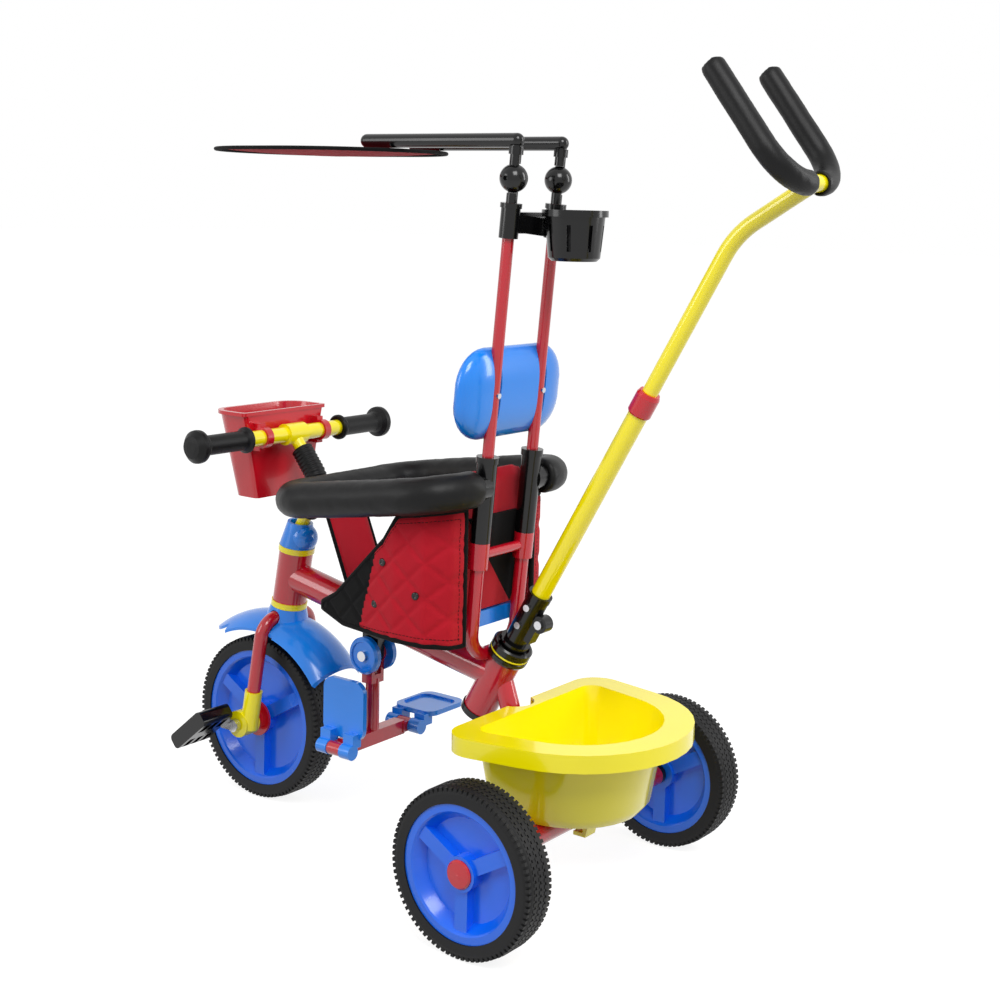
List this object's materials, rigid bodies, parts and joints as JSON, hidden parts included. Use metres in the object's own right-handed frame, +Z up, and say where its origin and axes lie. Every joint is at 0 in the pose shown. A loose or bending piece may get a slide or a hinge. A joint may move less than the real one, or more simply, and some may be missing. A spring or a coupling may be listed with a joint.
{
  "type": "push along trike",
  "caption": "Toddler trike with a parent push handle, sun canopy, padded seat in a foam guard ring, folding footrest, direct-drive pedals, front basket and rear bucket.",
  "frame": {"origin": "on the ground under the middle of the object's length, in its left-right middle plane", "axes": "+X is forward, the way the rider faces; +Y is the rider's left; +Z is up"},
  "size_m": [0.9644, 0.4786, 1.0277],
  "materials": {
    "red_paint": "gloss",
    "yellow_paint": "gloss",
    "bright_steel": "bright",
    "yellow_plastic": "gloss",
    "red_plastic": "gloss",
    "blue_plastic": "gloss",
    "black_plastic": "satin gloss",
    "black_foam": "matte foam",
    "tyre_foam": "matte foam",
    "red_cloth": "woven",
    "black_cloth": "bound edge"
  },
  "bodies": {
    "frame": {"main_tube": "red_paint", "rear_frame": "red_paint", "back_hoop": "red_paint", "head_cups": "yellow_plastic", "steer_collar": "black_plastic", "rear_tube_cap": "black_plastic", "rear_axle": "bright_steel", "axle_bushes": "black_plastic", "post_sockets": "black_plastic", "canopy_posts": "red_paint", "headrest": "blue_plastic", "headrest_screws": "bright_steel", "cup_bracket": "black_plastic", "cup_holder": "black_plastic", "canopy_hinge_bases": "black_plastic", "seat_base": "blue_plastic", "seat_bracket": "black_plastic", "seat_back": "blue_plastic", "seat_pad": "red_cloth", "back_pad": "red_cloth", "side_panels": "red_cloth", "crotch_strap": "red_cloth", "guard_ring_tube": "bright_steel", "guard_ring_foam": "black_foam", "bucket": "yellow_plastic", "footrest_bracket": "black_plastic", "footrest_bolt": "bright_steel"},
    "steering": {"fork": "red_paint", "fork_ends": "yellow_plastic", "fender": "blue_plastic", "head_cap": "blue_plastic", "stem_boot": "black_foam", "handlebar": "yellow_paint", "grips": "black_foam", "front_basket": "red_plastic"},
    "front_wheel": {"crank_axle": "bright_steel", "front_disc": "blue_plastic", "front_tyre": "tyre_foam", "front_hub": "red_plastic"},
    "pedal_left": {"pedal_left": "black_plastic"},
    "pedal_right": {"pedal_right": "black_plastic"},
    "wheel_left": {"left_disc": "blue_plastic", "left_tyre": "tyre_foam", "left_cap": "red_plastic"},
    "wheel_right": {"right_disc": "blue_plastic", "right_tyre": "tyre_foam", "right_cap": "red_plastic"},
    "canopy": {"canopy_arms": "black_plastic", "canopy_hoop": "black_cloth", "canopy_fabric": "red_cloth"},
    "footrest": {"footrest_stem": "red_paint", "footrest_discs": "blue_plastic"},
    "footplate_left": {"footplate_left": "blue_plastic"},
    "footplate_right": {"footplate_right": "blue_plastic"},
    "push_lower": {"push_socket": "black_plastic", "socket_bolts": "bright_steel", "push_tube_lower": "yellow_paint", "push_clamp": "red_plastic"},
    "push_upper": {"push_tube_upper": "yellow_paint", "push_grips": "black_foam"}
  },
  "joints": [
    {"name": "steering", "type": "hinge", "parent": "frame", "child": "steering", "pos_m": [0.31921, 0, 0.32813], "axis": [-0.1668, 0, 0.986], "range_deg": [-40, 40]},
    {"name": "push_swivel", "type": "hinge", "parent": "frame", "child": "push_lower", "pos_m": [-0.04776, 0, 0.257], "axis": [-0.4924, 0, 0.8704], "range_deg": [-40, 40]},
    {"name": "push_height", "type": "slide", "parent": "push_lower", "child": "push_upper", "axis": [-0.4924, 0, 0.8704], "range_m": [-0.15, 0]},
    {"name": "front_wheel_spin", "type": "hinge", "parent": "steering", "child": "front_wheel", "pos_m": [0.36624, 0, 0.116], "axis": [0, 1, 0], "continuous": true},
    {"name": "left_pedal_spin", "type": "hinge", "parent": "front_wheel", "child": "pedal_left", "pos_m": [0.39824, 0.105, 0.116], "axis": [0, 1, 0], "continuous": true},
    {"name": "right_pedal_spin", "type": "hinge", "parent": "front_wheel", "child": "pedal_right", "pos_m": [0.33424, -0.105, 0.116], "axis": [0, 1, 0], "continuous": true},
    {"name": "left_wheel_spin", "type": "hinge", "parent": "frame", "child": "wheel_left", "pos_m": [-0.17576, 0.215, 0.1], "axis": [0, 1, 0], "continuous": true},
    {"name": "right_wheel_spin", "type": "hinge", "parent": "frame", "child": "wheel_right", "pos_m": [-0.17576, -0.215, 0.1], "axis": [0, 1, 0], "continuous": true},
    {"name": "canopy_tilt", "type": "hinge", "parent": "frame", "child": "canopy", "pos_m": [-0.08998, 0, 0.8902], "axis": [0, -1, 0], "range_deg": [-20, 90]},
    {"name": "footrest_fold", "type": "hinge", "parent": "frame", "child": "footrest", "pos_m": [0.16624, 0, 0.24359], "axis": [0, 1, 0], "range_deg": [0, 60]},
    {"name": "left_plate_fold", "type": "hinge", "parent": "footrest", "child": "footplate_left", "pos_m": [0.16624, 0.071, 0.12759], "axis": [-1, 0, 0], "range_deg": [0, 90]},
    {"name": "right_plate_fold", "type": "hinge", "parent": "footrest", "child": "footplate_right", "pos_m": [0.16624, -0.071, 0.12759], "axis": [-1, 0, 0], "range_deg": [0, 90]}
  ],
  "couplings": [
    {"joint": "push_swivel", "follows": "steering", "ratio": 1}
  ]
}
